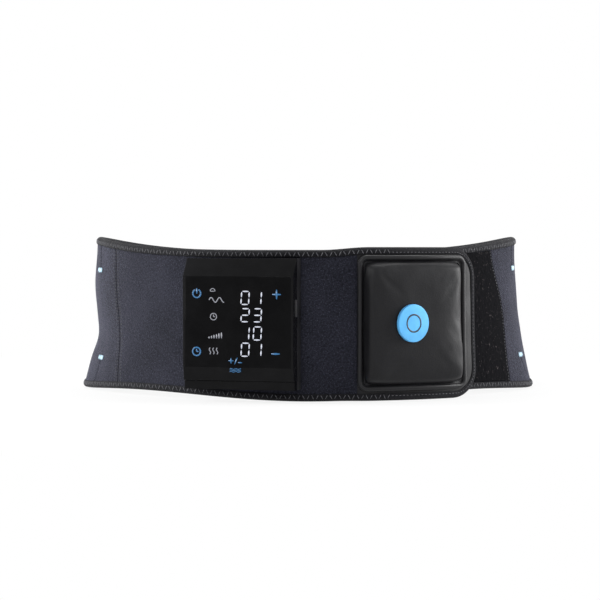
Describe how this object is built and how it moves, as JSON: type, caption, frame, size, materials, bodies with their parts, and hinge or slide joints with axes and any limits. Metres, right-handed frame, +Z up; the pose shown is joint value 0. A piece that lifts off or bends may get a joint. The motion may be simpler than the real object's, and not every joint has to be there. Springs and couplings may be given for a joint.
{
  "type": "tens unit",
  "caption": "Heat and nerve-stimulation waist belt closed in a loop, with a glossy control unit in front and a battery pouch on its opening strap end.",
  "frame": {"origin": "centre of the bounding box in plan, on the plane that the belt's lower edge stands on", "axes": "+Z up along the wearer's body, -Y to the front where the control unit faces, +X towards the pouch"},
  "size_m": [0.3518, 0.3388, 0.116],
  "materials": {
    "neoprene": "dark navy knit over foam rubber",
    "lining": "smooth dark knit",
    "binding_tape": "ribbed black tape with zigzag stitching",
    "loop_pile": "black brushed loop pile",
    "hook_tape": "black woven tape with hooks",
    "soft_leather": "soft black coated leather, satin",
    "gloss_black": "black high gloss",
    "lens_black": "black high gloss, smoked",
    "shell_plastic": "fine textured black",
    "led_display": "white lit segments",
    "circuit_board": "green solder mask",
    "chip_plastic": "black moulded",
    "steel": "plain",
    "copper": "tinned copper",
    "cell_foil": "laminated foil",
    "electrode_rubber": "matte conductive rubber",
    "heater_film": "amber film with carbon tracks",
    "badge_blue": "soft light blue",
    "tack_thread": "pale blue thread"
  },
  "bodies": {
    "belt": {"front_panel": "neoprene", "front_lining": "lining", "left_side_panel": "neoprene", "left_side_lining": "lining", "back_panel": "neoprene", "back_lining": "lining", "right_side_panel": "neoprene", "right_side_lining": "lining", "tail_panel": "neoprene", "tail_lining": "lining", "lower_binding": "binding_tape", "upper_binding": "binding_tape", "tail_end_binding": "binding_tape", "loop_patch": "loop_pile", "clamp_plate": "shell_plastic", "unit_front_shell": "gloss_black", "display_lens": "lens_black", "unit_back_shell": "shell_plastic", "circuit_board": "circuit_board", "digit_display": "led_display", "touch_spring_mode": "copper", "touch_spring_timer": "copper", "touch_spring_plus": "copper", "touch_spring_minus": "copper", "touch_spring_heat": "copper", "power_switch": "steel", "pulse_transformer": "copper", "controller_chip": "chip_plastic", "buzzer": "chip_plastic", "charging_port": "steel", "clamp_screw_1": "steel", "clamp_screw_2": "steel", "clamp_screw_3": "steel", "clamp_screw_4": "steel", "heating_film": "heater_film", "electrode_pad_1": "electrode_rubber", "electrode_pad_2": "electrode_rubber", "electrode_pad_3": "electrode_rubber", "electrode_pad_4": "electrode_rubber", "heater_lead": "copper", "battery_lead_strap": "copper", "left_upper_tack": "tack_thread", "left_lower_tack": "tack_thread", "right_upper_tack": "tack_thread", "right_lower_tack": "tack_thread"},
    "flap": {"flap_panel": "soft_leather", "flap_lining": "lining", "flap_binding": "binding_tape", "hook_patch": "hook_tape", "pouch_piping": "soft_leather", "pouch_cover": "soft_leather", "pouch_badge": "badge_blue", "battery_case_back": "shell_plastic", "battery_case_front": "shell_plastic", "battery_cell_1": "cell_foil", "battery_cell_2": "cell_foil", "battery_guard_board": "circuit_board", "battery_lead_flap": "copper"},
    "power_button": {"power_button": "shell_plastic"}
  },
  "joints": [
    {"name": "flap_hinge", "type": "hinge", "parent": "belt", "child": "flap", "pos_m": [0.02288, -0.1507, 0.05], "axis": [0, 0, -1], "range_deg": [0, 75]},
    {"name": "power_button_press", "type": "slide", "parent": "belt", "child": "power_button", "axis": [-0.962, 0.273, 0], "range_m": [0, 0.0006], "stiffness_N_per_m": 800}
  ]
}
